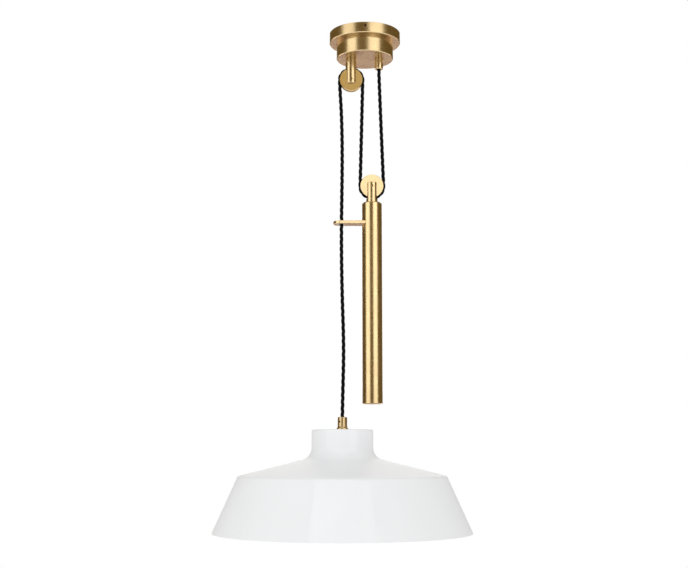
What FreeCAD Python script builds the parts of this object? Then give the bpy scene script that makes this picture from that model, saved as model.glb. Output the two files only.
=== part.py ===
import FreeCAD, Part
import math
import os

# A rise and fall pendant. Millimetres, +Z up. The origin is the middle of the face that meets the
# ceiling, and the cord runs in the plane Y = 0: cord gland, weight pulley, ceiling pulley, guide eye, shade.

V = FreeCAD.Vector
UP = V(0, 0, 1)
PULLEY_AXIS = V(0, -1, 0)

# Gaps between pieces
fit_gap = 0.05        # screwed, pressed or brazed pieces of one body
running_gap = 0.06    # turning pieces on their axles, on the radius
cord_gap = 0.3        # round the cord where it lies in a groove, a gland or a grip
seat_gap = 0.3        # round loosely seated inner pieces

# Cord: three covered cores twisted into one flex
cord_diameter = 6.4
core_diameter = 2.4

# Ceiling plate, cup and the bracket behind them
plate_diameter = 120.0
plate_height = 18.0
plate_wall = 2.5
plate_floor = 2.5
plate_land_width = 4.0    # of the plate's floor, inwards of the cup's flange
cup_diameter = 96.0
cup_height = 27.3
cup_wall = 2.5
cup_floor = 3.0
cup_flange_width = 5.5
cup_flange_thickness = 2.5
edge_bevel = 0.9
cup_screw_count = 3
cup_screw_diameter = 4.0
bracket_thickness = 2.0
bracket_width = 20.0
bracket_ear_height = 12.0
bracket_bend_radius = 3.0
bracket_slot_spacing = 60.0
bracket_slot_length = 14.0
bracket_slot_width = 4.5
supply_hole_diameter = 10.0
supply_hole_y = 12.0
earth_screw_y = -12.0
earth_screw_diameter = 4.0
rim_screw_diameter = 4.0
rim_screw_depth = 6.5

# Terminal block inside the cup
terminal_length = 28.0
terminal_width = 17.0
terminal_height = 14.0
terminal_ways = 3
terminal_pitch = 8.0
terminal_screw_diameter = 3.2
terminal_fixing_diameter = 3.0
terminal_fixing_depth = 1.8

# Pulleys and the forks that hold them
pulley_pitch_radius = 19.6
pulley_rim_radius = 19.4
pulley_width = 10.4
pulley_side_gap = 0.4
pulley_bush_wall = 2.0
bush_proud = 0.2
axle_diameter = 4.6
fork_diameter = 19.0
fork_tip_beyond_axle = 6.4
fork_tip_bevel = 0.8
cord_slot_gap = 0.9
stud_diameter = 10.0
stud_nut_across = 17.0
stud_nut_height = 5.0
stud_washer_thickness = 1.5
stud_beyond_nut = 2.0
ceiling_pulley_x = -23.3
ceiling_pulley_z = -81.6

# Cord gland in the cup
gland_x = 23.8
gland_length = 17.4
gland_diameter = 14.2
gland_flange_diameter = 16.6
gland_flange_height = 2.0
gland_stem_diameter = 10.0
gland_stem_above_floor = 8.0
gland_nut_across = 14.0
gland_nut_height = 4.0
grub_screw_diameter = 3.0
gland_grub_height = 7.0

# Counterweight
weight_x = 11.2
weight_pulley_z = -266.0
weight_top_z = -294.5
weight_foot_z = -628.9
weight_diameter = 33.0
weight_tube_wall = 2.5
weight_top_bevel = 1.7
weight_plug_height = 14.0
weight_core_length = 149.0
weight_cap_thickness = 3.2
weight_cap_spigot = 7.0
weight_cap_bevel = 0.8
fork_spigot_diameter = 10.0

# Guide arm on the counterweight, with the eye that the falling cord runs through
arm_z = -328.6
arm_thickness = 5.0
arm_width = 25.0
arm_edge_bevel = 0.5
arm_tenon_width = 12.0
eye_bore_diameter = 10.6
eye_bush_wall = 1.8

# Shade and its fittings
shade_x = -38.0
shade_top_z = -670.4
neck_diameter = 100.0
neck_edge_radius = 2.5
neck_to_shoulder_radius = 20.0
shoulder_start_z = -715.2
corner_diameter = 337.4
corner_z = -744.8
corner_bend_radius = 6.0
rim_diameter = 418.0
rim_z = -834.7
shade_thickness = 1.2
hem_height = 5.0
hem_thickness = 0.8
grip_length = 20.2
grip_diameter = 15.3
grip_foot_diameter = 19.0
grip_foot_height = 2.2
grip_flare_height = 2.4
grip_grub_below_top = 7.6
grip_grub_bearing = 230.0
grip_thread_depth = 9.0
nipple_diameter = 10.0
nipple_wall = 1.3
shade_washer_diameter = 28.0
shade_washer_thickness = 1.5
lock_nut_across = 14.0
lock_nut_height = 4.0
holder_diameter = 42.0
holder_cap_height = 22.0
holder_boss_diameter = 17.0
holder_boss_height = 5.0
holder_shell_height = 36.0
holder_wall = 2.2
holder_ribs = 24
holder_rib_depth = 0.7
insert_height = 9.0
insert_post_diameter = 12.0
lamp_thread_diameter = 27.0
screw_shell_wall = 0.6
screw_shell_length = 22.0
screw_shell_inset = 1.0
contact_width = 5.0
contact_thickness = 0.8
contact_rise = 2.4

# Sizes that follow from the ones above
cord_radius = cord_diameter / 2
cup_top_z = -plate_height
cup_bottom_z = cup_top_z - cup_height
cup_floor_z = cup_bottom_z + cup_floor
cup_flange_radius = cup_diameter / 2 - cup_wall - cup_flange_width
plate_opening_radius = cup_flange_radius - plate_land_width
slot_width = pulley_width + 2 * pulley_side_gap
groove_radius = cord_radius + cord_gap
slot_radius = pulley_pitch_radius + cord_radius + cord_slot_gap
bore_radius = cord_radius + cord_gap
gland_mouth_z = cup_bottom_z - gland_length
grip_top_z = shade_top_z + grip_length
tube_inner_radius = weight_diameter / 2 - weight_tube_wall
weight_tube_foot_z = weight_foot_z + weight_cap_thickness

os.makedirs("parts", exist_ok=True)
pieces = {}


def keep(name, shape):
    """Names a finished piece; a group of alike fasteners is one compound."""
    pieces[name] = shape


def at_angle(x, z, radius, degrees):
    """The point of a circle in the plane Y = 0, its angle counted from +X towards +Z."""
    turn = math.radians(degrees)
    return V(x + radius * math.cos(turn), 0, z + radius * math.sin(turn))


def rod(radius, low, high, x=0.0, y=0.0):
    """A vertical round bar between two heights."""
    return Part.makeCylinder(radius, high - low, V(x, y, low), UP)


def pipe(outer, inner, low, high, x=0.0, y=0.0):
    """A vertical tube between two heights."""
    return rod(outer, low, high, x, y).cut(rod(inner, low - 1, high + 1, x, y))


def cross_rod(radius, length, x, z):
    """A round bar along Y, centred on the plane Y = 0."""
    return Part.makeCylinder(radius, length, V(x, -length / 2, z), V(0, 1, 0))


def block(size_x, size_y, size_z, centre):
    """A box about its centre."""
    low = centre - V(size_x, size_y, size_z) * 0.5
    return Part.makeBox(size_x, size_y, size_z, low)


def rounded_edges(points, radii):
    """Straight runs through the points, joined by tangent arcs of the given radii at the inner points."""
    edges = []
    last = points[0]
    for before, corner, after, radius in zip(points, points[1:], points[2:], radii):
        back = (before - corner).normalize()
        ahead = (after - corner).normalize()
        half = back.getAngle(ahead) / 2
        if radius <= 0:
            edges.append(Part.makeLine(last, corner))
            last = corner
            continue
        reach = radius / math.tan(half)
        middle = (back + ahead).normalize()
        centre = corner + middle * (radius / math.sin(half))
        start = corner + back * reach
        end = corner + ahead * reach
        edges.append(Part.makeLine(last, start))
        edges.append(Part.Arc(start, centre - middle * radius, end).toShape())
        last = end
    edges.append(Part.makeLine(last, points[-1]))
    return edges


def turned(outline, x, radii=None):
    """A solid turned about the vertical line at x. The closed outline is given as (radius, height) pairs."""
    points = [V(x + r, 0, z) for r, z in outline]
    loop = points + [points[0]]
    edges = rounded_edges(loop, radii or [0] * (len(points) - 1))
    return Part.Face(Part.Wire(edges)).revolve(V(x, 0, 0), UP, 360)


def moved_aside(points, distance):
    """The polyline of (radius, height) pairs moved sideways, to the right of its direction."""
    normals = []
    for (r0, z0), (r1, z1) in zip(points, points[1:]):
        length = math.hypot(r1 - r0, z1 - z0)
        normals.append(((z1 - z0) / length, (r0 - r1) / length))
    first, last = normals[0], normals[-1]
    moved = [(points[0][0] + first[0] * distance, points[0][1] + first[1] * distance)]
    for (r, z), a, b in zip(points[1:-1], normals, normals[1:]):
        share = distance / (1 + a[0] * b[0] + a[1] * b[1])
        moved.append((r + (a[0] + b[0]) * share, z + (a[1] + b[1]) * share))
    moved.append((points[-1][0] + last[0] * distance, points[-1][1] + last[1] * distance))
    return moved


def hexagon(across, low, high, x):
    """A hexagonal bar, measured across its flats."""
    corner = across / math.sqrt(3)
    turns = [math.radians(60 * i) for i in range(7)]
    ring = [V(x + corner * math.cos(t), corner * math.sin(t), low) for t in turns]
    bar = Part.Face(Part.makePolygon(ring)).extrude(V(0, 0, high - low))
    bevel = across * 0.03
    dome = turned([(0, low), (across / 2, low), (corner, low + bevel * 2), (corner, high - bevel * 2),
                   (across / 2, high), (0, high)], x)
    return bar.common(dome)


def nut(across, hole_radius, low, high, x):
    """A hexagonal nut on a vertical stud."""
    return hexagon(across, low, high, x).cut(rod(hole_radius, low - 1, high + 1, x))


def pan_screw(radius, length, under_head, x, y):
    """A vertical pan-head screw with its shank downwards and a cross slot in its head."""
    head_radius = radius * 1.9
    head_height = radius * 1.2
    head = rod(head_radius, under_head, under_head + head_height, x, y)
    rim = max(head.Edges, key=lambda e: e.BoundBox.ZMax if e.Curve.TypeId == "Part::GeomCircle" else -1e9)
    head = head.makeFillet(head_height * 0.45, [rim])
    slot = block(head_radius * 1.3, radius * 0.45, head_height, V(x, y, under_head + head_height))
    return head.fuse(rod(radius, under_head - length, under_head, x, y)).cut(slot)


def grub_screw(radius, start, towards, length):
    """A headless screw with a slotted outer end. It starts at its outer end and runs towards the axis."""
    body = Part.makeCylinder(radius, length, start, towards)
    slot = block(radius * 0.5, radius * 3, radius * 0.9, V(0, 0, 0))
    slot.Placement = FreeCAD.Placement(start, FreeCAD.Rotation(UP, towards))
    return body.cut(slot)


def bevelled_rod(radius, low, high, x, bevel_low, bevel_high):
    """A turned bar with a bevel at one end or both."""
    foot = [(radius - bevel_low, low), (radius, low + bevel_low)] if bevel_low else [(radius, low)]
    head = [(radius, high - bevel_high), (radius - bevel_high, high)] if bevel_high else [(radius, high)]
    return turned([(0, low)] + foot + head + [(0, high)], x)


# Ceiling plate: a turned pan, open towards the ceiling, with its screws in the rim
def ceiling_plate():
    outer = plate_diameter / 2
    inner = outer - plate_wall
    opening = plate_opening_radius
    pan = turned([(opening, -plate_height), (outer - edge_bevel, -plate_height),
                  (outer, -plate_height + edge_bevel), (outer, -edge_bevel), (outer - edge_bevel, 0),
                  (inner, 0), (inner, -plate_height + plate_floor), (opening, -plate_height + plate_floor)], 0)
    for side in (-1, 1):
        hole = Part.makeCylinder(rim_screw_diameter / 2 + fit_gap, plate_wall + 2,
                                 V(0, side * (outer + 1), -rim_screw_depth), V(0, -side, 0))
        pan = pan.cut(hole)
    for x, y in cup_screw_places():
        pan = pan.cut(rod(cup_screw_diameter / 2 + fit_gap, -plate_height - 1, 0, x, y))
    return pan


def cup_screw_places():
    """The screws that hold the cup stand in the middle of its flange, clear of the bracket."""
    circle = cup_flange_radius + cup_flange_width / 2
    turns = [math.radians(30 + 360 * i / cup_screw_count) for i in range(cup_screw_count)]
    return [(circle * math.cos(t), circle * math.sin(t)) for t in turns]


def ceiling_cup():
    outer = cup_diameter / 2
    inner = outer - cup_wall
    flange = cup_flange_radius
    under_flange = cup_top_z - cup_flange_thickness
    cup = turned([(0, cup_bottom_z), (outer - edge_bevel, cup_bottom_z), (outer, cup_bottom_z + edge_bevel),
                  (outer, cup_top_z), (flange, cup_top_z), (flange, under_flange), (inner, under_flange),
                  (inner, cup_floor_z), (0, cup_floor_z)], 0)
    for x, y in cup_screw_places():
        cup = cup.cut(rod(cup_screw_diameter / 2 + fit_gap, under_flange - 1, cup_top_z + 1, x, y))
    for x, diameter in ((ceiling_pulley_x, stud_diameter), (gland_x, gland_stem_diameter)):
        cup = cup.cut(rod(diameter / 2 + fit_gap, cup_bottom_z - 1, cup_floor_z + 1, x))
    hole_z = cup_floor_z - terminal_fixing_depth - fit_gap
    return cup.cut(rod(terminal_fixing_diameter / 2 + fit_gap, hole_z, 0, 0, terminal_pitch / 2))


def bracket_reach():
    """The ears stop short of the plate's inner wall at their corners."""
    inner = plate_diameter / 2 - plate_wall
    return math.sqrt(inner ** 2 - (bracket_width / 2) ** 2) - seat_gap


def ceiling_bracket():
    reach = bracket_reach()
    top = [V(0, -reach, -bracket_ear_height), V(0, -reach, 0), V(0, reach, 0), V(0, reach, -bracket_ear_height)]
    inset = bracket_thickness
    under = [V(0, reach - inset, -bracket_ear_height), V(0, reach - inset, -inset),
             V(0, -reach + inset, -inset), V(0, -reach + inset, -bracket_ear_height)]
    bend = bracket_bend_radius
    fold = bend - inset
    edges = rounded_edges(top + under + [top[0]], [bend, bend, 0, 0, fold, fold, 0])
    strap = Part.Face(Part.Wire(edges)).extrude(V(bracket_width, 0, 0))
    strap.translate(V(-bracket_width / 2, 0, 0))
    straight = bracket_slot_length - bracket_slot_width
    for side in (-1, 1):
        middle = V(0, side * bracket_slot_spacing / 2, -bracket_thickness / 2)
        strap = strap.cut(block(bracket_slot_width, straight, bracket_thickness + 2, middle))
        for end in (-1, 1):
            strap = strap.cut(rod(bracket_slot_width / 2, -bracket_thickness - 1, 1, 0,
                                  middle.y + end * straight / 2))
        ear = Part.makeCylinder(rim_screw_diameter / 2 + fit_gap, bracket_thickness + 2,
                                V(0, side * (reach + 1), -rim_screw_depth), V(0, -side, 0))
        strap = strap.cut(ear)
    strap = strap.cut(rod(supply_hole_diameter / 2, -bracket_thickness - 1, 1, 0, supply_hole_y))
    return strap.cut(rod(earth_screw_diameter / 2 + fit_gap, -bracket_thickness - 1, 1, 0, earth_screw_y))


def cup_screws():
    length = plate_floor + cup_flange_thickness
    return Part.makeCompound([pan_screw(cup_screw_diameter / 2, length, -plate_height + plate_floor, x, y)
                              for x, y in cup_screw_places()])


def rim_screws():
    outer = plate_diameter / 2
    length = outer - bracket_reach() + bracket_thickness
    return Part.makeCompound([grub_screw(rim_screw_diameter / 2, V(0, side * outer, -rim_screw_depth),
                                         V(0, -side, 0), length) for side in (-1, 1)])


def earth_screw():
    """The earth screw hangs head down from the bracket, with its washer under the head."""
    radius = earth_screw_diameter / 2
    under = -bracket_thickness
    washer = rod(radius * 2.2, under - 0.8, under, 0, earth_screw_y)
    head = rod(radius * 1.9, under - 0.8 - radius * 1.2, under - 0.8, 0, earth_screw_y)
    return washer.fuse(head).fuse(rod(radius, under, -fit_gap, 0, earth_screw_y)).removeSplitter()


def terminal_ports():
    """The wire holes stand in two rows in the block's top, one row for each side."""
    first = -(terminal_ways - 1) / 2 * terminal_pitch
    return [first + i * terminal_pitch for i in range(terminal_ways)]


def terminal_block():
    top = cup_floor_z + terminal_height
    body = block(terminal_width, terminal_length, terminal_height, V(0, 0, cup_floor_z + terminal_height / 2))
    upright = [e for e in body.Edges if abs(e.Vertexes[0].Z - e.Vertexes[1].Z) > 1]
    body = body.makeFillet(1.5, upright)
    for y in terminal_ports():
        for side in (-1, 1):
            hole = rod(core_diameter / 2 + fit_gap, top - terminal_height / 2, top + 1, side * terminal_width / 4, y)
            body = body.cut(hole)
            screw_hole = Part.makeCylinder(terminal_screw_diameter / 2 + fit_gap, terminal_width / 4 - 1,
                                           V(side * (terminal_width / 2 + 1), y, top - terminal_height * 0.3),
                                           V(-side, 0, 0))
            body = body.cut(screw_hole)
    return body.cut(rod(terminal_fixing_diameter / 2 + fit_gap, cup_floor_z - 1, top + 1, 0, terminal_pitch / 2))


def terminal_screws():
    top = cup_floor_z + terminal_height
    depth = terminal_width / 4 - 2
    return Part.makeCompound([grub_screw(terminal_screw_diameter / 2,
                                         V(side * terminal_width / 2, y, top - terminal_height * 0.3),
                                         V(-side, 0, 0), depth)
                              for side in (-1, 1) for y in terminal_ports()])


# Forks: round bars with a milled slot that follows the pulley, drilled for the axle
def fork(x, axle_z, tip_side, seat_z):
    """tip_side is -1 for a fork whose legs hang and +1 for one whose legs stand. seat_z is its flat end."""
    tip_z = axle_z + tip_side * fork_tip_beyond_axle
    low, high = min(tip_z, seat_z), max(tip_z, seat_z)
    bevels = (fork_tip_bevel, 0) if tip_side < 0 else (0, fork_tip_bevel)
    bar = bevelled_rod(fork_diameter / 2, low, high, x, *bevels)
    reach = 3 * pulley_pitch_radius
    slot = cross_rod(slot_radius, slot_width, x, axle_z)
    mouth = block(fork_diameter * 2, slot_width, reach, V(x, 0, axle_z + tip_side * reach / 2))
    return bar.cut(slot).cut(mouth).cut(cross_rod(axle_diameter / 2 + fit_gap, fork_diameter * 2, x, axle_z))


def hanger_fork():
    stem_top = cup_floor_z + stud_washer_thickness + stud_nut_height + stud_beyond_nut
    stem = rod(stud_diameter / 2, cup_bottom_z, stem_top, ceiling_pulley_x)
    return fork(ceiling_pulley_x, ceiling_pulley_z, -1, cup_bottom_z).fuse(stem)


def axle(x, z):
    """The axle ends a little inside the round of the fork and has bevelled ends."""
    length = math.sqrt(fork_diameter ** 2 - axle_diameter ** 2)
    pin = cross_rod(axle_diameter / 2, length, x, z)
    return pin.makeChamfer(0.4, [e for e in pin.Edges if e.Closed])


def pulley(x, z):
    """A turned disc with bevelled faces and a round groove that the cord half fills."""
    disc = cross_rod(pulley_rim_radius, pulley_width, x, z)
    disc = disc.makeChamfer(0.4, [e for e in disc.Edges if e.Closed])
    groove = Part.makeTorus(pulley_pitch_radius, groove_radius, V(x, 0, z), PULLEY_AXIS)
    hole = cross_rod(bush_outer_radius() + fit_gap, pulley_width + 2, x, z)
    return disc.cut(groove).cut(hole)


def bush_outer_radius():
    return axle_diameter / 2 + running_gap + pulley_bush_wall


def pulley_bush(x, z):
    """A bush pressed into the pulley. It stands proud on each side and spaces the pulley from its fork."""
    length = pulley_width + 2 * bush_proud
    sleeve = cross_rod(bush_outer_radius(), length, x, z)
    return sleeve.cut(cross_rod(axle_diameter / 2 + running_gap, length + 2, x, z))


def cord_gland():
    barrel = gland_diameter / 2
    flange = gland_flange_diameter / 2
    flange_z = cup_bottom_z - gland_flange_height
    stem = gland_stem_diameter / 2
    stem_top = cup_floor_z + gland_stem_above_floor
    body = turned([(bore_radius, gland_mouth_z), (barrel - edge_bevel, gland_mouth_z),
                   (barrel, gland_mouth_z + edge_bevel), (barrel, flange_z), (flange, flange_z),
                   (flange, cup_bottom_z), (stem, cup_bottom_z), (stem, stem_top), (bore_radius, stem_top)],
                  gland_x)
    hole = Part.makeCylinder(grub_screw_diameter / 2 + fit_gap, barrel, V(gland_x, -bore_radius + 1, gland_grub_z()),
                             V(0, -1, 0))
    return body.cut(hole)


def gland_grub_z():
    return gland_mouth_z + gland_grub_height


def gland_grub_screw():
    start = V(gland_x, -gland_diameter / 2 + 0.3, gland_grub_z())
    length = gland_diameter / 2 - 0.3 - cord_radius - 0.05
    return grub_screw(grub_screw_diameter / 2, start, V(0, 1, 0), length)


def ceiling_cores():
    """The three cores leave the gland's stem and arch over into the terminal block."""
    top = cup_floor_z + gland_stem_above_floor
    radius = core_diameter / 2
    port_z = cup_floor_z + terminal_height - terminal_height / 2 + 1
    port_x = terminal_width / 4
    tubes = []
    for i, port_y in enumerate(terminal_ports()):
        turn = math.radians(90 + 120 * (1 - i))
        start = V(gland_x + math.sin(turn) * radius * 1.2, math.cos(turn) * radius * 1.2, top)
        over = cup_floor_z + max(terminal_height, gland_stem_above_floor) + 1
        span = V(port_x - start.x, port_y - start.y, 0)
        arch_top = start + span * 0.5 + V(0, 0, over - top + span.Length / 2)
        left = V(start.x, start.y, over)
        right = V(port_x, port_y, over)
        path = Part.Wire([Part.makeLine(start, left), Part.Arc(left, arch_top, right).toShape(),
                          Part.makeLine(right, V(port_x, port_y, port_z))])
        ring = Part.Wire(Part.makeCircle(radius, start, UP))
        tubes.append(path.makePipeShell([ring], True, True))
    return Part.makeCompound(tubes)


# Counterweight: a brass tube on a steel core, closed by a plug above and a cap below
def weight_tube():
    outer = weight_diameter / 2
    inner = tube_inner_radius
    tube = turned([(inner, weight_tube_foot_z), (outer, weight_tube_foot_z),
                   (outer, weight_top_z - weight_top_bevel), (outer - weight_top_bevel, weight_top_z),
                   (inner, weight_top_z)], weight_x)
    reach = weight_diameter / 2
    slot = block(reach, arm_tenon_width + 2 * fit_gap, arm_thickness + 2 * fit_gap, V(weight_x - reach, 0, arm_z))
    return tube.cut(slot)


def weight_top_plug():
    low = weight_top_z - weight_plug_height
    plug = rod(tube_inner_radius - fit_gap, low, weight_top_z, weight_x)
    return plug.cut(rod(fork_spigot_diameter / 2 + fit_gap, low - 1, weight_top_z + 1, weight_x))


def weight_core():
    """A steel bar that stands on the end cap's spigot and sets the balance."""
    low = weight_tube_foot_z + weight_cap_spigot
    return rod(tube_inner_radius - seat_gap, low, low + weight_core_length, weight_x)


def weight_end_cap():
    outer = weight_diameter / 2
    spigot = tube_inner_radius - fit_gap
    return turned([(0, weight_foot_z), (outer - weight_cap_bevel, weight_foot_z),
                   (outer, weight_foot_z + weight_cap_bevel), (outer, weight_tube_foot_z),
                   (spigot, weight_tube_foot_z), (spigot, weight_tube_foot_z + weight_cap_spigot),
                   (0, weight_tube_foot_z + weight_cap_spigot)], weight_x)


def weight_fork():
    spigot = rod(fork_spigot_diameter / 2, weight_top_z - weight_plug_height, weight_top_z, weight_x)
    return fork(weight_x, weight_pulley_z, 1, weight_top_z).fuse(spigot)


def eye_x():
    """The eye stands on the line of the falling cord."""
    top, corner = drop_tangent(), drop_corner()
    share = (top.z - arm_z) / (top.z - corner.z)
    return top.x + (corner.x - top.x) * share


def guide_arm():
    """A flat bar with a round tip about the eye, hollowed to sit on the tube, with a tenon brazed into it."""
    low = arm_z - arm_thickness / 2
    tip = rod(arm_width / 2, low, low + arm_thickness, eye_x())
    length = weight_x - eye_x()
    bar = block(length, arm_width, arm_thickness, V(eye_x() + length / 2, 0, arm_z))
    plate = tip.fuse(bar).removeSplitter()
    rims = [e for e in plate.Edges if abs(e.BoundBox.ZLength) < 0.01 and e.BoundBox.XMax < weight_x - 1]
    plate = plate.makeChamfer(arm_edge_bevel, rims)
    seat = rod(weight_diameter / 2 + fit_gap, low - 1, low + arm_thickness + 1, weight_x)
    tenon_length = weight_tube_wall - fit_gap
    tenon_x = weight_x - tube_inner_radius - tenon_length / 2 - fit_gap
    tenon = block(tenon_length + 1, arm_tenon_width, arm_thickness, V(tenon_x - 0.5, 0, arm_z))
    hole = rod(eye_bush_radius() + fit_gap, low - 1, low + arm_thickness + 1, eye_x())
    return plate.cut(seat).fuse(tenon).cut(hole).removeSplitter()


def eye_bush_radius():
    return eye_bore_diameter / 2 + eye_bush_wall


def guide_bush():
    """The lining of the eye, with rounded mouths that spare the cord."""
    low = arm_z - arm_thickness / 2
    ring = pipe(eye_bush_radius(), eye_bore_diameter / 2, low, low + arm_thickness, eye_x())
    mouths = [e for e in ring.Edges if e.Closed and abs(e.Curve.Radius - eye_bore_diameter / 2) < 0.01
              and e.BoundBox.ZLength < 0.01]
    return ring.makeFillet(eye_bush_wall * 0.5, mouths)


# Shade: one spun shell with a hemmed rim
def shade_line():
    """The outer line of the shade, from its top middle to the rim."""
    return [(nipple_diameter / 2 + fit_gap, shade_top_z), (neck_diameter / 2, shade_top_z),
            (neck_diameter / 2, shoulder_start_z), (corner_diameter / 2, corner_z), (rim_diameter / 2, rim_z)]


def shade():
    outer = shade_line()
    inner = moved_aside(outer, shade_thickness)
    inner[0] = (outer[0][0], shade_top_z - shade_thickness)
    slope = (rim_diameter - corner_diameter) / 2 / (corner_z - rim_z)
    wall = shade_thickness / math.cos(math.atan(slope))
    inner[-1] = (rim_diameter / 2 - wall, rim_z)
    t = shade_thickness
    outer_radii = [neck_edge_radius, neck_to_shoulder_radius, corner_bend_radius]
    inner_radii = [neck_edge_radius - t, neck_to_shoulder_radius + t, corner_bend_radius - t]
    loop = outer + inner[::-1]
    radii = outer_radii + [0, 0] + inner_radii[::-1] + [0]
    shell = turned(loop, shade_x, radii)
    hem_top = rim_z + hem_height
    inside = rim_diameter / 2 - wall
    hem = turned([(inside + 0.2, rim_z), (inside + 0.2 - slope * hem_height, hem_top),
                  (inside - slope * hem_height - hem_thickness, hem_top), (inside - hem_thickness, rim_z)], shade_x)
    return shell.fuse(hem).removeSplitter()


def cord_grip():
    barrel = grip_diameter / 2
    foot = grip_foot_diameter / 2
    foot_z = shade_top_z + grip_foot_height
    flare_z = foot_z + grip_flare_height
    thread = nipple_diameter / 2 + fit_gap
    thread_z = shade_top_z + grip_thread_depth
    body = turned([(thread, shade_top_z), (foot, shade_top_z), (foot, foot_z), (barrel, foot_z),
                   (barrel, grip_top_z - edge_bevel), (barrel - edge_bevel, grip_top_z),
                   (bore_radius, grip_top_z), (bore_radius, thread_z), (thread, thread_z)], shade_x,
                  [0, 0.6, 0, 0, 0, 0, 0, 0])
    flare = turned([(barrel - 0.5, foot_z - 0.5), (foot - 0.6, foot_z - 0.5), (foot - 0.6, foot_z),
                    (barrel, flare_z), (barrel - 0.5, flare_z)], shade_x)
    hole = Part.makeCylinder(grub_screw_diameter / 2 + fit_gap, barrel, grip_grub_start(bore_radius - 1),
                             grip_grub_out())
    return body.fuse(flare).cut(hole).removeSplitter()


def grip_grub_out():
    turn = math.radians(grip_grub_bearing)
    return V(math.cos(turn), math.sin(turn), 0)


def grip_grub_start(radius):
    return V(shade_x, 0, grip_top_z - grip_grub_below_top) + grip_grub_out() * radius


def grip_grub_screw():
    outer = grip_diameter / 2 - 0.4
    length = outer - cord_radius - 0.05
    return grub_screw(grub_screw_diameter / 2, grip_grub_start(outer), grip_grub_out() * -1, length)


def under_shade_top():
    return shade_top_z - shade_thickness


def holder_cap_top():
    return under_shade_top() - shade_washer_thickness - lock_nut_height


def holder_joint_z():
    """Where the lampholder's cap and shell meet."""
    return holder_cap_top() - holder_cap_height


def grip_nipple():
    radius = nipple_diameter / 2
    low = holder_cap_top() - holder_boss_height
    return pipe(radius, radius - nipple_wall, low, shade_top_z + grip_thread_depth, shade_x)


def shade_washer():
    low = under_shade_top() - shade_washer_thickness
    return pipe(shade_washer_diameter / 2, nipple_diameter / 2 + fit_gap, low, under_shade_top(), shade_x)


def shade_lock_nut():
    high = under_shade_top() - shade_washer_thickness
    return nut(lock_nut_across, nipple_diameter / 2 + fit_gap, high - lock_nut_height, high, shade_x)


def lampholder_cap():
    top = holder_cap_top()
    outer = holder_diameter / 2
    boss = holder_boss_diameter / 2
    boss_z = top - holder_boss_height
    low = holder_joint_z()
    wall = holder_wall
    stem = nipple_diameter / 2 + fit_gap
    return turned([(stem, top), (boss, top), (boss, boss_z), (outer, boss_z - 6), (outer, low),
                   (outer - wall, low), (outer - wall, boss_z - 6 - wall), (stem, boss_z - wall)], shade_x,
                  [0, 0, 5, 0, 0, 3, 0])


def lampholder_shell():
    """The shell that screws up on the cap and holds the insert, with grip ribs round it."""
    high = holder_joint_z()
    low = high - holder_shell_height
    outer = holder_diameter / 2
    inner = lamp_thread_diameter / 2 + screw_shell_wall + fit_gap
    seat_z = high - insert_height
    shell = turned([(inner, low), (outer - 3, low), (outer - 1, low + 3), (outer - 1, seat_z - 3),
                    (outer, seat_z - 2), (outer, high), (outer - holder_wall, high), (outer - holder_wall, seat_z),
                    (inner, seat_z)], shade_x)
    for i in range(holder_ribs):
        turn = math.radians(360 / holder_ribs * i)
        groove = rod(holder_rib_depth, seat_z, high + 1, shade_x + outer * math.cos(turn), outer * math.sin(turn))
        shell = shell.cut(groove)
    return shell


def lamp_insert():
    """The ceramic insert lies on the shell's ledge. Its post reaches up to the cord's end."""
    high = holder_joint_z()
    seat_z = high - insert_height
    disc = rod(holder_diameter / 2 - holder_wall - seat_gap, seat_z, high - 1.0, shade_x)
    return disc.fuse(rod(insert_post_diameter / 2, high - 1.0, cord_end_z(), shade_x))


def cord_end_z():
    return holder_cap_top() - holder_boss_height - 6


def screw_shell():
    """The threaded brass shell that takes the lamp, drawn plain. It stands back from the shell's mouth."""
    low = holder_joint_z() - holder_shell_height + screw_shell_inset
    outer = lamp_thread_diameter / 2 + screw_shell_wall
    return pipe(outer, lamp_thread_diameter / 2, low, low + screw_shell_length, shade_x)


def centre_contact():
    """The sprung tongue in the middle of the insert."""
    seat = holder_joint_z() - insert_height
    run = lamp_thread_diameter / 2 * 0.7
    low = seat - contact_rise
    thick = contact_thickness
    line = [V(-run, 0, seat), V(-run * 0.2, 0, seat), V(run * 0.45, 0, low), V(run, 0, low)]
    back = [p - V(0, 0, thick) for p in reversed(line)]
    edges = rounded_edges(line + back + [line[0]], [0, 0, 0, 0, 0, 0, 0])
    tongue = Part.Face(Part.Wire(edges)).extrude(V(0, contact_width, 0))
    tongue.translate(V(shade_x, -contact_width / 2, 0))
    return tongue


# Cord route, in the plane Y = 0
def tangent_point(x, z, point, side):
    """Where a straight cord from the point touches the pulley. side is +1 where it comes on clockwise."""
    away = V(point.x - x, 0, point.z - z)
    bearing = math.degrees(math.atan2(away.z, away.x))
    spread = math.degrees(math.acos(pulley_pitch_radius / away.Length))
    return bearing - side * spread


def gland_corner():
    return V(gland_x, 0, gland_mouth_z - 10.0)


def drop_corner():
    return V(shade_x, 0, grip_top_z + 12.0)


def rise_bearing():
    """The bearing of the rising cord's tangent point on the weight pulley."""
    across = ceiling_pulley_x - weight_x
    up = ceiling_pulley_z - weight_pulley_z
    centres = math.hypot(across, up)
    lean = math.degrees(math.asin(2 * pulley_pitch_radius / centres))
    return math.degrees(math.atan2(up, across)) - lean + 90


def feed_bearing():
    return tangent_point(weight_x, weight_pulley_z, gland_corner(), 1)


def drop_bearing():
    return tangent_point(ceiling_pulley_x, ceiling_pulley_z, drop_corner(), 1)


def drop_tangent():
    return at_angle(ceiling_pulley_x, ceiling_pulley_z, pulley_pitch_radius, drop_bearing())


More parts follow.
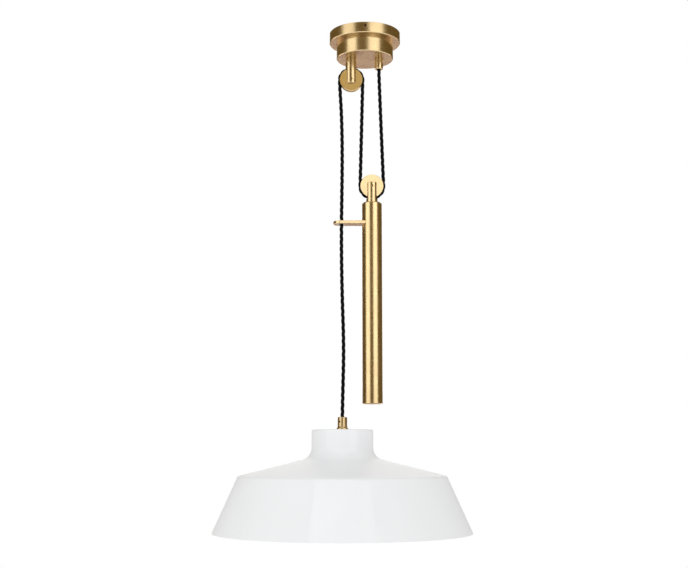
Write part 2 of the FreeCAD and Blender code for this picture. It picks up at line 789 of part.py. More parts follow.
def cord_along(name, points):
    """A cord through the points: straight runs, with each arc as large as its two runs allow."""
    radii = []
    for before, corner, after in zip(points, points[1:], points[2:]):
        turn = (corner - before).getAngle(after - corner)
        shorter = min(before.distanceToPoint(corner), after.distanceToPoint(corner))
        radii.append(0.45 * shorter / math.tan(turn / 2))
    path = Part.Wire(rounded_edges(points, radii))
    ring = Part.Wire(Part.makeCircle(cord_radius, points[0], points[1] - points[0]))
    tube = path.makePipeShell([ring], True, True)
    ratio = tube.Volume / (path.Length * math.pi * cord_radius ** 2)
    print(name, "length", round(path.Length, 1), "radii", [round(r) for r in radii], "volume", round(ratio, 4))
    return tube


def cord_round(name, x, z, start, end):
    """The cord on a pulley, from one bearing to the other."""
    ring = Part.Face(Part.Wire(Part.makeCircle(cord_radius, V(x + pulley_pitch_radius, 0, z), UP)))
    arc = ring.revolve(V(x, 0, z), PULLEY_AXIS, end - start)
    arc.rotate(V(x, 0, z), PULLEY_AXIS, start)
    print(name, "length", round(math.radians(end - start) * pulley_pitch_radius, 1), "radius", pulley_pitch_radius)
    return arc


def cords():
    weight = (weight_x, weight_pulley_z)
    ceiling = (ceiling_pulley_x, ceiling_pulley_z)
    feed_end = at_angle(*weight, pulley_pitch_radius, feed_bearing())
    rise_start = at_angle(*weight, pulley_pitch_radius, rise_bearing())
    rise_end = at_angle(*ceiling, pulley_pitch_radius, rise_bearing() - 180)
    keep("cord_in_gland", rod(cord_radius, gland_mouth_z, cup_floor_z + gland_stem_above_floor, gland_x))
    keep("cord_feed", cord_along("feed", [V(gland_x, 0, gland_mouth_z), gland_corner(), feed_end]))
    keep("cord_under_weight_pulley", cord_round("under", *weight, rise_bearing(), 360 + feed_bearing()))
    keep("cord_rise", cord_along("rise", [rise_start, rise_end]))
    over_end = drop_bearing() % 360
    keep("cord_over_ceiling_pulley", cord_round("over", *ceiling, rise_bearing() - 180, over_end))
    keep("cord_drop", cord_along("drop", [drop_tangent(), drop_corner(), V(shade_x, 0, grip_top_z)]))
    keep("cord_in_grip", rod(cord_radius, cord_end_z(), grip_top_z, shade_x))


keep("ceiling_bracket", ceiling_bracket())
keep("ceiling_plate", ceiling_plate())
keep("ceiling_cup", ceiling_cup())
keep("cup_screws", cup_screws())
keep("rim_screws", rim_screws())
keep("earth_screw", earth_screw())
keep("terminal_block", terminal_block())
keep("terminal_screws", terminal_screws())
keep("terminal_fixing_screw", pan_screw(terminal_fixing_diameter / 2, terminal_height + terminal_fixing_depth,
                                        cup_floor_z + terminal_height, 0, terminal_pitch / 2))
keep("hanger_fork", hanger_fork())
washer_z = cup_floor_z + stud_washer_thickness
keep("hanger_washer", pipe(stud_nut_across * 0.6, stud_diameter / 2 + fit_gap, cup_floor_z, washer_z,
                           ceiling_pulley_x))
keep("hanger_nut", nut(stud_nut_across, stud_diameter / 2 + fit_gap, washer_z, washer_z + stud_nut_height,
                       ceiling_pulley_x))
keep("ceiling_axle", axle(ceiling_pulley_x, ceiling_pulley_z))
keep("ceiling_pulley", pulley(ceiling_pulley_x, ceiling_pulley_z))
keep("ceiling_pulley_bush", pulley_bush(ceiling_pulley_x, ceiling_pulley_z))
keep("cord_gland", cord_gland())
keep("gland_nut", nut(gland_nut_across, gland_stem_diameter / 2 + fit_gap, cup_floor_z,
                      cup_floor_z + gland_nut_height, gland_x))
keep("gland_grub_screw", gland_grub_screw())
keep("ceiling_cores", ceiling_cores())
cords()
keep("weight_fork", weight_fork())
keep("weight_axle", axle(weight_x, weight_pulley_z))
keep("weight_pulley", pulley(weight_x, weight_pulley_z))
keep("weight_pulley_bush", pulley_bush(weight_x, weight_pulley_z))
keep("weight_tube", weight_tube())
keep("weight_top_plug", weight_top_plug())
keep("weight_core", weight_core())
keep("weight_end_cap", weight_end_cap())
keep("guide_arm", guide_arm())
keep("guide_bush", guide_bush())
keep("shade", shade())
keep("cord_grip", cord_grip())
keep("grip_grub_screw", grip_grub_screw())
keep("grip_nipple", grip_nipple())
keep("shade_washer", shade_washer())
keep("shade_lock_nut", shade_lock_nut())
keep("lampholder_cap", lampholder_cap())
keep("lampholder_shell", lampholder_shell())
keep("lamp_insert", lamp_insert())
keep("screw_shell", screw_shell())
keep("centre_contact", centre_contact())

for name, shape in pieces.items():
    print(name, "solids", len(shape.Solids), "valid", shape.isValid(), "volume", round(shape.Volume, 1))
    shape.exportStep("parts/" + name + ".step")
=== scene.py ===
import math

import bpy
import numpy as np
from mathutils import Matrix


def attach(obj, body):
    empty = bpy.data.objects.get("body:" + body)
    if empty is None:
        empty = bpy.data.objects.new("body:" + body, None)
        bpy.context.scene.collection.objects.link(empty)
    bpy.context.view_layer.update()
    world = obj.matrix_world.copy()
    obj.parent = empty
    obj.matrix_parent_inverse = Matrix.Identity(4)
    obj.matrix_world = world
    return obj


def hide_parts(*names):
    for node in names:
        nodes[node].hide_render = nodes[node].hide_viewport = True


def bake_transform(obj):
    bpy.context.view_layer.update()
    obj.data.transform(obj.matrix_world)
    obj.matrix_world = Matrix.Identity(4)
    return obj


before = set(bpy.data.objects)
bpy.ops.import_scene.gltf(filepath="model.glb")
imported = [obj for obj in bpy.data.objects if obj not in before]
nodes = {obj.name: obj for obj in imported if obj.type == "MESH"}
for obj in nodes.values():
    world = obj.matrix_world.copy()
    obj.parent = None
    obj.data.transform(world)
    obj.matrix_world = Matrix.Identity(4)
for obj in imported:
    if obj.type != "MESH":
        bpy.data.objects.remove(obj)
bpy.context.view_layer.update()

scene = bpy.context.scene
print("frame loaded:", len(nodes), "nodes")


def srgb(hexColour):
    # an sRGB hex value as the linear colour that the shader works with
    parts = [int(hexColour[i:i + 2], 16) / 255 for i in (0, 2, 4)]
    return [p / 12.92 if p <= 0.04045 else ((p + 0.055) / 1.055) ** 2.4 for p in parts] + [1.0]


def newMaterial(name):
    material = bpy.data.materials.new(name)
    material.use_nodes = True
    material.node_tree.nodes.clear()
    return material, material.node_tree


def addNode(tree, kind, inputs=None, **settings):
    # adds a node, sets its options, then its sockets: a number or colour is a value, a socket is a link
    node = tree.nodes.new("ShaderNode" + kind)
    for key, value in settings.items():
        setattr(node, key, value)
    for key, value in (inputs or {}).items():
        if isinstance(value, bpy.types.NodeSocket):
            tree.links.new(value, node.inputs[key])
        else:
            node.inputs[key].default_value = value
    return node


noiseSpan = (0.3, 0.7)      # nearly all values of a noise lie between these


def noiseValue(tree, place, sizeMm, detail, roughness=0.5):
    # a noise with cells of about the given size
    return addNode(tree, "TexNoise", {"Vector": place, "Scale": 1000 / sizeMm, "Detail": detail,
                                      "Roughness": roughness}).outputs[0]


def variedValue(tree, noise, middle, less, more):
    # a value that follows the noise from middle - less to middle + more
    return addNode(tree, "MapRange", {0: noise, 1: noiseSpan[0], 2: noiseSpan[1],
                                      3: middle - less, 4: middle + more}).outputs[0]


def mixedColour(tree, share, firstHex, secondHex):
    # from the first colour to the second as the share grows
    return addNode(tree, "Mix", {0: share, 6: srgb(firstHex), 7: srgb(secondHex)}, data_type="RGBA").outputs[2]


def bumpNormal(tree, height, depthMm, strength=1.0):
    return addNode(tree, "Bump", {"Height": height, "Distance": depthMm / 1000,
                                  "Strength": strength}).outputs[0]


def giveSurface(tree, inputs):
    # the principled shader with these sockets set, as the material's surface
    shader = addNode(tree, "BsdfPrincipled", inputs)
    addNode(tree, "OutputMaterial", {"Surface": shader.outputs[0]})


# camera: the photograph's, fitted to the round edges of the plate, cup, tube and shade
camera = {"lensMm": 60.17, "sensorMm": 36.0, "placeMm": (-35.46, -1885.0, -700.8), "pitchDegrees": 8.14}
cameraData = bpy.data.cameras.new("photoCamera")
cameraData.lens = camera["lensMm"]
cameraData.sensor_width = camera["sensorMm"]
cameraObject = bpy.data.objects.new("photoCamera", cameraData)
cameraObject.location = [value / 1000 for value in camera["placeMm"]]
cameraObject.rotation_euler = (math.radians(90 + camera["pitchDegrees"]), 0, 0)
scene.collection.objects.link(cameraObject)
scene.camera = cameraObject
print("camera set")


# flex: three covered cores twisted together, from the gland over both pulleys to the grip
flex = {
    "diameterMm": 6.4,
    "strands": 3,
    "strandMm": 2.95,           # one covered core
    "pitchMm": 33.0,            # a full turn of the twist
    "stepMm": 1.1,              # between rings along a strand
    "leastRings": 8,
    "sides": 12,
    "lineSteps": 48,            # points on the line for each control point
    "shortestCordM": 0.04,      # a shorter stretch is held in a fitting
    # the line's control points, (x, z) in millimetres, in the plane y = 0
    "pointsMm": [
        # out of the gland
        (23.8, -34.3), (23.8, -55.0), (23.8, -72.7),
        # round the weight pulley
        (30.5, -257.0), (31.1, -273.6), (19.6, -285.6), (3.0, -285.6), (-8.6, -273.8), (-8.2, -257.2),
        # over the ceiling pulley
        (-3.9, -90.3), (-3.5, -73.9), (-14.9, -62.1), (-31.4, -61.9), (-43.0, -73.6), (-42.8, -90.0),
        # the falling run, which waves a little in the photograph
        (-39.2, -150.0), (-38.2, -225.0), (-40.1, -345.0), (-38.9, -440.0), (-35.6, -535.0),
        (-37.4, -610.0),
        # into the grip
        (-38.0, -638.2), (-38.0, -662.0), (-38.0, -688.1),
    ],
    # where one stretch ends and the next begins
    "cutsMm": [(23.8, -62.7), (30.787, -265.289), (-8.394, -265.499), (-3.706, -82.101),
               (-42.899, -81.773), (-38.0, -650.2)],
}


def splineLine(pointsMm, steps):
    # a smooth line: the quadratic spline with these control points, read back as a row of points in metres
    curve = bpy.data.curves.new("line", "CURVE")
    curve.dimensions = "3D"
    curve.resolution_u = steps
    spline = curve.splines.new("NURBS")
    spline.points.add(len(pointsMm) - 1)
    weights = np.ones(len(pointsMm))
    spline.points.foreach_set("co", np.c_[np.array(pointsMm) / 1000, weights].ravel())
    spline.order_u = 3
    spline.use_endpoint_u = True
    holder = bpy.data.objects.new("line", curve)
    mesh = bpy.data.meshes.new_from_object(holder)
    line = np.zeros(len(mesh.vertices) * 3)
    mesh.vertices.foreach_get("co", line)
    bpy.data.meshes.remove(mesh)
    bpy.data.objects.remove(holder)
    bpy.data.curves.remove(curve)
    return line.reshape(-1, 3)


def lengthsAlong(line):
    # running length: the sum of the distances between neighbouring points
    return np.concatenate([[0.0], np.cumsum(np.linalg.norm(np.diff(line, axis=0), axis=1))])


def lengthAt(line, along, point):
    # the running length of the line's point that is nearest to the given one
    start, step = line[:-1], np.diff(line, axis=0)
    share = np.clip(((point - start) * step).sum(1) / (step ** 2).sum(1), 0, 1)
    away = np.linalg.norm(start + step * share[:, None] - point, axis=1)
    nearest = int(away.argmin())
    return along[nearest] + share[nearest] * (along[nearest + 1] - along[nearest])


def pointsAt(line, along, lengths):
    return np.stack([np.interp(lengths, along, line[:, k]) for k in range(3)], axis=1)


def meshObject(name, vertices, faces, uv=None):
    mesh = bpy.data.meshes.new(name)
    mesh.from_pydata(vertices.tolist(), [], faces)
    if uv is not None:
        layer = mesh.uv_layers.new(name="surface")
        loops = np.zeros(len(mesh.loops), np.int32)
        mesh.loops.foreach_get("vertex_index", loops)
        layer.data.foreach_set("uv", uv[loops].astype(np.float32).ravel())
    mesh.polygons.foreach_set("use_smooth", np.ones(len(mesh.polygons), bool))
    mesh.validate()
    mesh.update()
    made = bpy.data.objects.new(name, mesh)
    scene.collection.objects.link(made)
    return made


def tubeFaces(rings, sides, first):
    # quads between neighbouring rings, and a fan to a middle point at each end
    ring, side = np.meshgrid(np.arange(rings - 1), np.arange(sides), indexing="ij")
    here = first + ring * sides + side
    beside = first + ring * sides + (side + 1) % sides
    quads = np.stack([here, beside, beside + sides, here + sides], axis=-1).reshape(-1, 4)
    low, high = first + rings * sides, first + rings * sides + 1
    last = first + (rings - 1) * sides
    around = np.arange(sides)
    lowFan = np.stack([np.full(sides, low), first + (around + 1) % sides, first + around], axis=-1)
    highFan = np.stack([np.full(sides, high), last + around, last + (around + 1) % sides], axis=-1)
    return quads.tolist() + lowFan.tolist() + highFan.tolist()


def tubeRows(middle, radius, sides, sideways):
    # a tube: at each point of the line a circle in the plane square to it,
    # middle + radius * (cos(turn) * out + sin(turn) * across), with out as near to sideways
    # as that plane allows
    ahead = np.gradient(middle, axis=0)
    ahead /= np.linalg.norm(ahead, axis=1)[:, None]
    out = sideways - ahead * (sideways * ahead).sum(1)[:, None]
    out /= np.linalg.norm(out, axis=1)[:, None]
    across = np.cross(ahead, out)
    turn = np.linspace(0, 2 * math.pi, sides, endpoint=False)
    rows = (middle[:, None] + radius * (np.cos(turn)[None, :, None] * out[:, None]
                                        + np.sin(turn)[None, :, None] * across[:, None]))
    return np.concatenate([rows.reshape(-1, 3), middle[[0, -1]]])


def twistedFlex(name, line, along, fromLength, toLength):
    # strands wind round the line: strand k stands at angle 2 pi (length / pitch + k / strands) about it,
    # at the distance where each touches the flex's outer diameter from inside
    count = max(flex["leastRings"], int(round((toLength - fromLength) * 1000 / flex["stepMm"])))
    lengths = np.linspace(fromLength, toLength, count)
    middle = pointsAt(line, along, lengths)
    ahead = np.gradient(middle, axis=0)
    ahead /= np.linalg.norm(ahead, axis=1)[:, None]
    side = np.tile([0.0, 1.0, 0.0], (count, 1))
    normal = np.cross(ahead, side)
    radius = flex["strandMm"] / 2000
    distance = flex["diameterMm"] / 2000 - radius
    vertices, faces, uv, first = [], [], [], 0
    for k in range(flex["strands"]):
        angle = 2 * math.pi * (lengths * 1000 / flex["pitchMm"] + k / flex["strands"])
        outward = np.cos(angle)[:, None] * normal + np.sin(angle)[:, None] * side
        rows = tubeRows(middle + distance * outward, radius, flex["sides"], outward)
        faces += tubeFaces(count, flex["sides"], first)
        # u is the length along in millimetres, v the share of a turn round the strand
        lengthwise = np.append(np.repeat(lengths * 1000, flex["sides"]), lengths[[0, -1]] * 1000)
        around = np.append(np.tile(np.arange(flex["sides"]) / flex["sides"], count), [0.5, 0.5])
        uv.append(np.stack([lengthwise, around], axis=1))
        vertices.append(rows)
        first += len(rows)
    return meshObject(name, np.concatenate(vertices), faces, np.concatenate(uv)), middle


def evenShare(piece, start, end):
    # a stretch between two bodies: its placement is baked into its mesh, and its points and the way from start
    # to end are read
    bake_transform(piece)
    points = np.zeros(len(piece.data.vertices) * 3)
    piece.data.vertices.foreach_get("co", points)
    start, way = np.array(start), np.array(end) - np.array(start)


flexLine = splineLine([(x, 0, z) for x, z in flex["pointsMm"]], flex["lineSteps"])
flexAlong = lengthsAlong(flexLine)
flexCuts = [0.0] + [lengthAt(flexLine, flexAlong, np.array([x, 0, z]) / 1000) for x, z in flex["cutsMm"]]
flexCuts.append(flexAlong[-1])
flexStretches = [
    ("flexInGland", "cord_in_gland", ["ceiling_fitting"]),
    ("flexFeed", "cord_feed", ["ceiling_fitting", "counterweight"]),
    ("flexUnderWeightPulley", "cord_under_weight_pulley", ["counterweight"]),
    ("flexRise", "cord_rise", ["counterweight", "ceiling_fitting"]),
    ("flexOverCeilingPulley", "cord_over_ceiling_pulley", ["ceiling_fitting"]),
    ("flexDrop", "cord_drop", ["ceiling_fitting", "shade_assembly"]),
    ("flexInGrip", "cord_in_grip", ["shade_assembly"]),
]
flexPieces = []
for (name, node, bodies), fromLength, toLength in zip(flexStretches, flexCuts, flexCuts[1:]):
    piece, middle = twistedFlex(name, flexLine, flexAlong, fromLength, toLength)
    start, end = middle[0], middle[-1]
    if len(bodies) == 2:
        evenShare(piece, [0, 0, start[2]], [0, 0, end[2]])
    else:
        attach(piece, bodies[0])
    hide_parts(node)
    flexPieces.append(piece)
    print(name, "length", round((toLength - fromLength) * 1000, 1), "mm")


# cores in the cup: each covered core arches from the gland's stem over into the terminal block
cores = {
    "diameterMm": 2.4,
    "sides": 14,
    "stepMm": 0.8,
    "lineSteps": 16,
    # control points, (x, y, z)
    "linesMm": [
        [(23.08, -1.25, -34.3), (23.08, -1.25, -31.4), (23.08, -1.25, -23.2), (17.56, -3.23, -17.3),
         (9.77, -6.02, -17.3), (4.25, -8.0, -23.2), (4.25, -8.0, -31.4), (4.25, -8.0, -34.3)],
        [(25.24, 0.0, -34.3), (25.24, 0.0, -31.6), (25.24, 0.0, -22.9), (19.09, 0.0, -16.8),
         (10.4, 0.0, -16.8), (4.25, 0.0, -22.9), (4.25, 0.0, -31.6), (4.25, 0.0, -34.3)],
        [(23.08, 1.25, -34.3), (23.08, 1.25, -31.4), (23.08, 1.25, -23.2), (17.56, 3.23, -17.3),
         (9.77, 6.02, -17.3), (4.25, 8.0, -23.2), (4.25, 8.0, -31.4), (4.25, 8.0, -34.3)],
    ],
}


def coreBundle():
    # three smooth tubes, each carried along its own arch
    vertices, faces, first = [], [], 0
    for pointsMm in cores["linesMm"]:
        line = splineLine(pointsMm, cores["lineSteps"])
        along = lengthsAlong(line)
        count = int(round(along[-1] * 1000 / cores["stepMm"]))
        middle = pointsAt(line, along, np.linspace(0, along[-1], count))
        sideways = np.tile([0.0, 1.0, 0.0], (count, 1))
        rows = tubeRows(middle, cores["diameterMm"] / 2000, cores["sides"], sideways)
        faces += tubeFaces(count, cores["sides"], first)
        vertices.append(rows)
        first += len(rows)
    return meshObject("ceilingCores", np.concatenate(vertices), faces)


coreObject = coreBundle()
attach(coreObject, "ceiling_fitting")
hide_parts("ceiling_cores")
print("cores made")


# satin brass: turned on a lathe, brushed round with abrasive cloth and lacquered.
# The brushing leaves fine rings, and the lacquer adds a thin clear gloss.
brass = {
    "colour": "E3CA9B",
    "lineColour": "DFC594",     # where the cloth cut a little deeper
    "roughness": 0.27,
    "smoother": 0.03,           # the cloudy change of roughness, down
    "rougher": 0.04,            # and up
    "cloudMm": 26.0,            # its size along a piece
    "lineMm": 0.9,              # really about 0.2 mm apart; drawn this coarse to show at a step's distance
    "lineDepthMm": 0.0004,
    "lineGrain": 0.6,           # how ragged the lines are
    "lacquer": 0.45,
    "lacquerRoughness": 0.12,
}


def brassMaterial(name, axis, centreMm=(0.0, 0.0, 0.0), tone=None, roughness=None):
    # axis z or y: rings about that line; axis x: straight lines along x
    material, tree = newMaterial(name)
    place = addNode(tree, "TexCoord").outputs["Object"]
    centre = [value / 1000 for value in centreMm]
    moved = addNode(tree, "VectorMath", {0: place, 1: centre}, operation="SUBTRACT")
    parts = addNode(tree, "SeparateXYZ", {0: moved.outputs[0]})
    x, y, z = (parts.outputs[k] for k in range(3))
    if axis == "x":
        across, level = y, z
    else:
        level, other = (z, y) if axis == "z" else (y, z)
        flat = addNode(tree, "CombineXYZ", {0: x, 1: other})
        across = addNode(tree, "VectorMath", {0: flat.outputs[0]}, operation="LENGTH").outputs["Value"]
    lines = addNode(tree, "CombineXYZ", {0: across, 1: level})
    fine = noiseValue(tree, lines.outputs[0], brass["lineMm"], detail=2.0, roughness=brass["lineGrain"])
    cloud = noiseValue(tree, moved.outputs[0], brass["cloudMm"], detail=2.0)
    roughness = roughness or brass["roughness"]
    giveSurface(tree, {
        "Base Color": mixedColour(tree, fine, tone or brass["colour"], brass["lineColour"]),
        "Metallic": 1.0,
        "Roughness": variedValue(tree, cloud, roughness, brass["smoother"], brass["rougher"]),
        "Normal": bumpNormal(tree, fine, brass["lineDepthMm"]),
        "Coat Weight": brass["lacquer"],
        "Coat Roughness": brass["lacquerRoughness"]})
    return material


# white powder coat on spun aluminium: an even satin white with a very fine orange-peel skin
powderCoat = {
    "colour": "F0F1F2",
    "shadeColour": "ECEDEE",    # where the coat lies thinner
    "cloudMm": 60.0,
    "roughness": 0.48,
    "roughnessChange": 0.03,
    "peelMm": 1.4,
    "peelDepthMm": 0.01,
    "glossIor": 1.5,
}


def powderCoatMaterial():
    material, tree = newMaterial("whitePowderCoat")
    place = addNode(tree, "TexCoord").outputs["Object"]
    peel = noiseValue(tree, place, powderCoat["peelMm"], detail=1.0)
    cloud = noiseValue(tree, place, powderCoat["cloudMm"], detail=2.0)
    change = powderCoat["roughnessChange"]
    giveSurface(tree, {
        "Base Color": mixedColour(tree, cloud, powderCoat["colour"], powderCoat["shadeColour"]),
        "Roughness": variedValue(tree, peel, powderCoat["roughness"], change, change),
        "Normal": bumpNormal(tree, peel, powderCoat["peelDepthMm"]),
        "IOR": powderCoat["glossIor"]})
    return material


# woven cotton sleeve over each core of the flex: matt black, with the diamond of the braid just showing
braid = {
    "colour": "060506",
    "threadColour": "121113",
    "threadMm": 1.1,        # from one thread to the next along the strand
    "threadsRound": 4,
    "depthMm": 0.12,
    "bumpStrength": 0.7,
    "roughness": 0.8,
    "gloss": 0.12,
}


def braidMaterial():
    # threads cross at a slant: sin(u + v) * sin(u - v) of the length along and the angle round the strand
    material, tree = newMaterial("blackBraidedCotton")
    surface = addNode(tree, "UVMap", uv_map="surface").outputs[0]
    parts = addNode(tree, "SeparateXYZ", {0: surface})

    def calculated(operation, *values):
        return addNode(tree, "Math", dict(enumerate(values)), operation=operation).outputs[0]

    lengthways = calculated("MULTIPLY", parts.outputs[0], math.pi / braid["threadMm"])
    roundways = calculated("MULTIPLY", parts.outputs[1], 2 * math.pi * braid["threadsRound"])
    rising = calculated("SINE", calculated("ADD", lengthways, roundways))
    falling = calculated("SINE", calculated("SUBTRACT", lengthways, roundways))
    weave = calculated("MULTIPLY", rising, falling)
    height = addNode(tree, "MapRange", {0: weave, 1: -1.0, 2: 1.0, 3: 0.0, 4: 1.0}).outputs[0]
    giveSurface(tree, {
        "Base Color": mixedColour(tree, height, braid["colour"], braid["threadColour"]),
        "Roughness": braid["roughness"],
        "Normal": bumpNormal(tree, height, braid["depthMm"], braid["bumpStrength"]),
        "Specular IOR Level": braid["gloss"]})
    return material


# the plain finishes of the inner pieces: one grainy colour each, at its own real grain
finishes = {
    # bright zinc, slightly cloudy from the bath
    "zincPlatedSteel": {"colour": "A9ABAD", "grainColour": "8E9194", "grainMm": 3.0,
                        "metallic": 1.0, "roughness": 0.38, "depthMm": 0.01},
    # natural nylon, soft sheen
    "mouldedNylon": {"colour": "DDD8CB", "grainColour": "D3CDBF", "grainMm": 1.5,
                     "metallic": 0.0, "roughness": 0.5, "depthMm": 0.01},
    # ivory polyamide, fairly glossy
    "mouldedTerminalPlastic": {"colour": "E6E3DA", "grainColour": "DBD8CE", "grainMm": 2.0,
                               "metallic": 0.0, "roughness": 0.35, "depthMm": 0.008},
    # black thermosetting plastic, glossy
    "mouldedHolderPlastic": {"colour": "131314", "grainColour": "1B1B1C", "grainMm": 1.2,
                             "metallic": 0.0, "roughness": 0.3, "depthMm": 0.008},
    # fired white porcelain
    "glazedPorcelain": {"colour": "EFEDE6", "grainColour": "E6E3DA", "grainMm": 4.0,
                        "metallic": 0.0, "roughness": 0.22, "depthMm": 0.006},
    # soft dark sleeve over each core
    "siliconeSleeve": {"colour": "2A2A2C", "grainColour": "323234", "grainMm": 0.8,
                       "metallic": 0.0, "roughness": 0.45, "depthMm": 0.006},
    # dark patinated screws in the brass
    "blackenedSteel": {"colour": "5C4A2C", "grainColour": "46381F", "grainMm": 1.0,
                       "metallic": 1.0, "roughness": 0.4, "depthMm": 0.008},
}
plainRoughnessChange = 0.04


def plainMaterial(name):
    values = finishes[name]
    material, tree = newMaterial(name)
    place = addNode(tree, "TexCoord").outputs["Object"]
    grain = noiseValue(tree, place, values["grainMm"], detail=3.0)
    change = plainRoughnessChange
    giveSurface(tree, {
        "Base Color": mixedColour(tree, grain, values["colour"], values["grainColour"]),
        "Metallic": values["metallic"],
        "Roughness": variedValue(tree, grain, values["roughness"], change, change),
        "Normal": bumpNormal(tree, grain, values["depthMm"])})
    return material


plain = {name: plainMaterial(name) for name in finishes}
# the brushing of each brass piece runs round its own axis, given by a point on it in millimetres
brassOnPlate = brassMaterial("satinBrassRoundPlate", "z")
brassOnCeilingFork = brassMaterial("satinBrassCeilingFork", "z", (-23.3, 0, 0))
brassOnGland = brassMaterial("satinBrassGland", "z", (23.8, 0, 0))
brassOnWeight = brassMaterial("satinBrassWeight", "z", (11.2, 0, 0))
brassOnShade = brassMaterial("satinBrassShadeFittings", "z", (-38.0, 0, 0))
brassOnCeilingPulley = brassMaterial("satinBrassCeilingPulley", "y", (-23.3, 0, -81.6))
brassOnWeightPulley = brassMaterial("satinBrassWeightPulley", "y", (11.2, 0, -266.0))
brassOnArm = brassMaterial("satinBrassArm", "x")
brassPin = brassMaterial("drawnBrassPin", "y", (11.2, 0, -266.0), "B89A62", 0.34)

wearers = [
    (brassOnPlate, ["ceiling_plate", "ceiling_cup", "earth_screw"]),
    (brassOnCeilingFork, ["hanger_fork"]),
    (brassOnCeilingPulley, ["ceiling_pulley"]),
    (brassOnGland, ["cord_gland", "gland_grub_screw"]),
    (brassOnWeight, ["weight_fork", "weight_tube", "weight_top_plug", "weight_end_cap"]),
    (brassOnWeightPulley, ["weight_pulley"]),
    (brassOnArm, ["guide_arm"]),
    (brassOnShade, ["cord_grip", "screw_shell", "centre_contact"]),
    (brassPin, ["ceiling_axle", "weight_axle"]),
    (powderCoatMaterial(), ["shade"]),
    (plain["blackenedSteel"], ["rim_screws", "grip_grub_screw"]),
    (plain["zincPlatedSteel"], [
        "ceiling_bracket", "cup_screws", "terminal_screws", "terminal_fixing_screw", "hanger_washer",
        "hanger_nut", "gland_nut", "weight_core", "grip_nipple", "shade_washer", "shade_lock_nut"]),
    (plain["mouldedTerminalPlastic"], ["terminal_block"]),
    (plain["mouldedNylon"], ["ceiling_pulley_bush", "weight_pulley_bush", "guide_bush"]),
    (plain["mouldedHolderPlastic"], ["lampholder_cap", "lampholder_shell"]),
    (plain["glazedPorcelain"], ["lamp_insert"]),
]
finishOf = {name: material for material, names in wearers for name in names}
for name, material in finishOf.items():
    held = nodes[name].data.materials
    held.clear()
    held.append(material)
braidedCotton = braidMaterial()
for piece in flexPieces:
    piece.data.materials.append(braidedCotton)
coreObject.data.materials.append(plain["siliconeSleeve"])
print("finishes given to", len(finishOf) + len(flexPieces) + 1, "pieces")


# studio: soft boxes round the object, dim walls that only metal and gloss see, and a pale floor
softBoxes = [
    # bearing of the middle, from the camera's side towards +x, and half the spread, in degrees;
    # levels in metres; shine is the brightness that metal and gloss see, fill the one that dull surfaces see
    {"name": "leftBoxHigh", "bearing": -55.5, "halfSpread": 20.5, "low": 0.45, "high": 1.1,
     "shine": 1.4, "fill": 1.3},
    {"name": "leftBoxLow", "bearing": -52.0, "halfSpread": 24.0, "low": -0.68, "high": 0.45,
     "shine": 1.62, "fill": 1.3},
    {"name": "rightBoxHigh", "bearing": 36.25, "halfSpread": 23.75, "low": 0.45, "high": 1.1,
     "shine": 1.6, "fill": 1.15},
    {"name": "rightBoxLow", "bearing": 36.25, "halfSpread": 23.75, "low": -0.68, "high": 0.45,
     "shine": 1.7, "fill": 1.15},
    {"name": "backBox", "bearing": 180, "halfSpread": 16, "low": -0.5, "high": 1.0,
     "shine": 1.5, "fill": 1.2},
    # low boxes at the back, which upright metal shows only when it is looked at from above and behind
    {"name": "leftBackFoot", "bearing": -135, "halfSpread": 17, "low": -1.9, "high": -1.0, "shine": 1.3},
    {"name": "rightBackFoot", "bearing": 140, "halfSpread": 17, "low": -1.9, "high": -1.0, "shine": 1.3},
]
faceBoxes = [
    # in the photograph the pulleys' flat faces and the arm's edge are turned a little and catch a soft box;
    # each of these lights only the nodes that it names
    ({"name": "weightFace", "bearing": 4, "halfSpread": 22, "low": -0.2, "high": 0.7,
      "shine": 1.5}, ["weight_pulley", "guide_arm"]),
    ({"name": "ceilingFace", "bearing": 4, "halfSpread": 22, "low": 0.3, "high": 1.1,
      "shine": 0.56, "colour": "FFE9A6"}, ["ceiling_pulley"]),
]
studio = {
    "boxDistanceM": 2.3,
    "roomRadiusM": 2.7,
    "walls": [
        # name, bearings from and to, levels from and to, colour
        ("upperWall", -180, 180, -0.8, 3.0, "6B5A35"),
        ("lowerFrontWall", -95, 95, -1.9, -0.8, "655639"),
        ("lowerBackWall", 95, 265, -1.9, -0.8, "AE9494"),
    ],
    "worldLight": 0.78,        # what dull surfaces get from all round, beside the boxes
    "floorLevelM": -2.0,
    "floorRadiusM": 9.0,
    "floorPinholeM": 0.02,     # the small hole that a ring-shaped floor leaves in its middle
    "floorColour": "F4F4F4",
    "floorLift": 0.34,         # it glows a little itself, which lights the skirt and keeps the floor white
}


def softBox(values, kind):
    # width = 2 * distance * tan(half spread); power = brightness * pi * area
    bearing, distance = math.radians(values["bearing"]), studio["boxDistanceM"]
    lamp = bpy.data.lights.new(values["name"] + kind, "AREA")
    lamp.shape = "RECTANGLE"
    lamp.size = 2 * distance * math.tan(math.radians(values["halfSpread"]))
    lamp.size_y = values["high"] - values["low"]
    lamp.energy = values[kind] * math.pi * lamp.size * lamp.size_y
    lamp.color = srgb(values.get("colour", "FFFFFF"))[:3]
    box = bpy.data.objects.new(values["name"] + kind, lamp)
    middle = (values["low"] + values["high"]) / 2
    box.location = (distance * math.sin(bearing), -distance * math.cos(bearing), middle)
    box.rotation_euler = (math.radians(90), 0, bearing)      # upright, facing the axis
    box.visible_camera = False
    box.visible_diffuse = kind == "fill"
    box.visible_glossy = kind == "shine"
    scene.collection.objects.link(box)
    return box


for values in softBoxes:
    softBox(values, "shine")
    if "fill" in values:
        softBox(values, "fill")
for values, lit in faceBoxes:
    facing = bpy.data.collections.new(values["name"] + "Only")
    for name in lit:
        facing.objects.link(nodes[name])
    softBox(values, "shine").light_linking.receiver_collection = facing


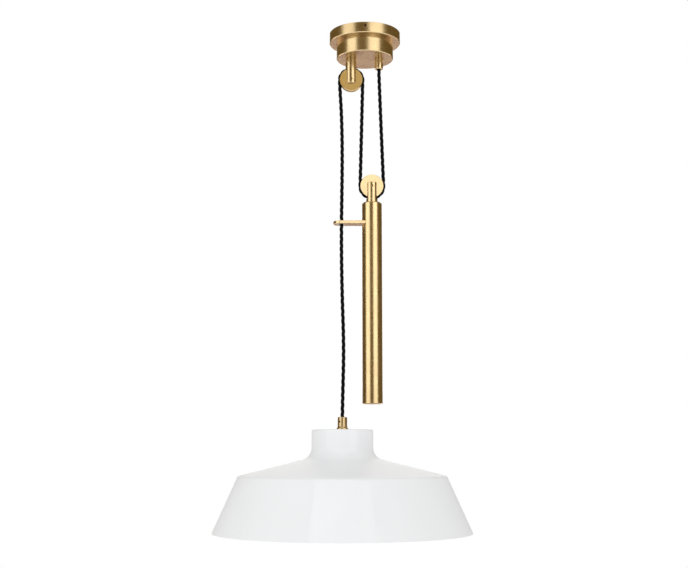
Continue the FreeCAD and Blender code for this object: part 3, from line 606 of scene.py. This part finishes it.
def ringBand(name, edges, fromBearing=-180, toBearing=180, turns=96):
    # a band between two arcs (radius sin b, -radius cos b, level) of the bearings b, one for each edge
    bearing = np.radians(np.linspace(fromBearing, toBearing, turns + 1))
    rows = np.concatenate([np.stack([radius * np.sin(bearing), -radius * np.cos(bearing),
                                     np.full(turns + 1, level)], axis=1) for radius, level in edges])
    here = np.arange(turns)
    faces = np.stack([here, here + turns + 1, here + turns + 2, here + 1], axis=1)
    return meshObject(name, rows, faces.tolist())


for name, fromBearing, toBearing, low, high, colour in studio["walls"]:
    wall = ringBand(name, [(studio["roomRadiusM"], low), (studio["roomRadiusM"], high)], fromBearing, toBearing)
    wallMaterial, tree = newMaterial(name)
    glow = addNode(tree, "Emission", {"Color": srgb(colour), "Strength": 1.0})
    addNode(tree, "OutputMaterial", {"Surface": glow.outputs[0]})
    wall.data.materials.append(wallMaterial)
    wall.visible_camera = wall.visible_diffuse = False
    wall.visible_shadow = wall.visible_transmission = False

floorDisc = ringBand("studioFloor", [(studio["floorRadiusM"], studio["floorLevelM"]),
                                     (studio["floorPinholeM"], studio["floorLevelM"])])
floorMaterial, tree = newMaterial("paleStudioFloor")
paint = addNode(tree, "BsdfDiffuse", {"Color": srgb(studio["floorColour"])})
glow = addNode(tree, "Emission", {"Color": [1.0, 1.0, 1.0, 1.0], "Strength": studio["floorLift"]})
both = addNode(tree, "AddShader", {0: paint.outputs[0], 1: glow.outputs[0]})
addNode(tree, "OutputMaterial", {"Surface": both.outputs[0]})
floorDisc.data.materials.append(floorMaterial)

# the world is full white where the camera or the metal sees it, and dimmer as a light for dull surfaces
world = bpy.data.worlds.new("whiteStudio")
scene.world = world
world.use_nodes = True
tree = world.node_tree
tree.nodes.clear()
rays = addNode(tree, "LightPath")
seen = rays.outputs["Is Camera Ray"]
for kind in ("Is Glossy Ray", "Is Transmission Ray"):
    seen = addNode(tree, "Math", {0: seen, 1: rays.outputs[kind]}, operation="MAXIMUM").outputs[0]
strength = addNode(tree, "MapRange", {0: seen, 1: 0.0, 2: 1.0, 3: studio["worldLight"], 4: 1.0})
sky = addNode(tree, "Background", {"Color": [1.0, 1.0, 1.0, 1.0], "Strength": strength.outputs[0]})
addNode(tree, "OutputWorld", {"Surface": sky.outputs[0]})
scene.view_settings.view_transform = "Standard"
print("studio set")
